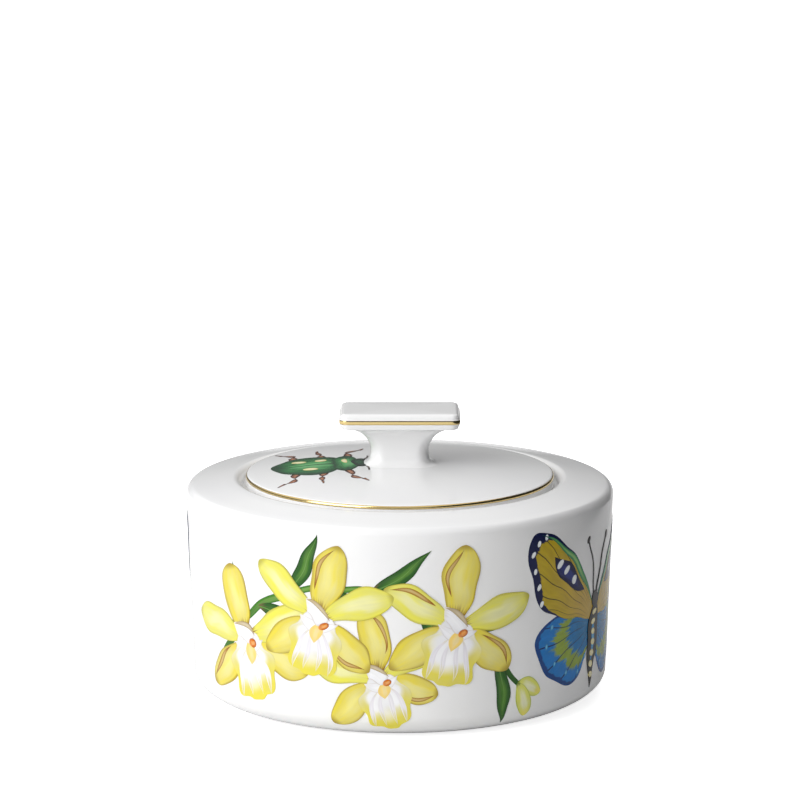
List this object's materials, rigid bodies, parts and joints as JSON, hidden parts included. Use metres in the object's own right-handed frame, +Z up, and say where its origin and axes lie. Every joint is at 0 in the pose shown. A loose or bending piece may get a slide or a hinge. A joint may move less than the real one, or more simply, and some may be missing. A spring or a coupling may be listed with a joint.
{
  "type": "sugar bowl",
  "caption": "Round white porcelain sugar bowl with a slanting shoulder, a drop-in domed lid with a flat rectangular knob, thin gold bands and printed flowers.",
  "frame": {"origin": "centre of the foot ring, on the plane that the bowl stands on", "axes": "+Z up along the bowl's axis, +X along the long side of the knob, -Y towards the side with the flower spray"},
  "size_m": [0.1098, 0.1098, 0.074],
  "materials": {
    "bowl_porcelain": "glossy clear glaze over white porcelain, printed decor under the glaze",
    "lid_porcelain": "glossy clear glaze over white porcelain",
    "gold": "polished fired-on gold line"
  },
  "bodies": {
    "bowl": {"bowl_body": "bowl_porcelain"},
    "lid": {"lid_plate": "lid_porcelain", "lid_knob": "lid_porcelain", "lid_gold_band": "gold", "knob_gold_band": "gold"}
  },
  "joints": [
    {"name": "lid_lift", "type": "slide", "parent": "bowl", "child": "lid", "axis": [0, 0, 1], "range_m": [0, 0.1]}
  ]
}
